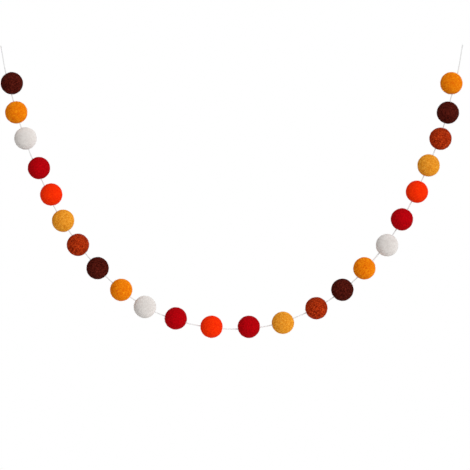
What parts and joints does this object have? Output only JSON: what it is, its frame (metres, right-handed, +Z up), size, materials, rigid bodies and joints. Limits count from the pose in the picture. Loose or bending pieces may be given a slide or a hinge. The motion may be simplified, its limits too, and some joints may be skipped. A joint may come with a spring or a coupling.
{
  "type": "felt ball garland",
  "caption": "Garland of hand-rolled wool felt balls in autumn colours, threaded on a thin white cord that hangs in a deep swag.",
  "frame": {"origin": "centre of the left end of the cord, where a pin, tack or hook holds it", "axes": "+X from the left cord end to the right one as seen from the front, +Y away from the viewer, +Z up"},
  "size_m": [0.5224, 0.0251, 0.3301],
  "materials": {
    "cord_white": "matte twisted cotton",
    "felt_brown": "matte wool felt",
    "felt_amber": "matte wool felt, slightly heathered",
    "felt_white": "matte wool felt",
    "felt_red": "matte wool felt",
    "felt_orange": "matte wool felt",
    "felt_gold": "matte wool felt, heathered",
    "felt_rust": "matte wool felt, heathered"
  },
  "bodies": {
    "root": {"cord": "cord_white", "ball_01": "felt_brown", "ball_02": "felt_amber", "ball_03": "felt_white", "ball_04": "felt_red", "ball_05": "felt_orange", "ball_06": "felt_gold", "ball_07": "felt_rust", "ball_08": "felt_brown", "ball_09": "felt_amber", "ball_10": "felt_white", "ball_11": "felt_red", "ball_12": "felt_orange", "ball_13": "felt_red", "ball_14": "felt_gold", "ball_15": "felt_rust", "ball_16": "felt_brown", "ball_17": "felt_amber", "ball_18": "felt_white", "ball_19": "felt_red", "ball_20": "felt_orange", "ball_21": "felt_gold", "ball_22": "felt_rust", "ball_23": "felt_brown", "ball_24": "felt_amber"}
  },
  "joints": []
}
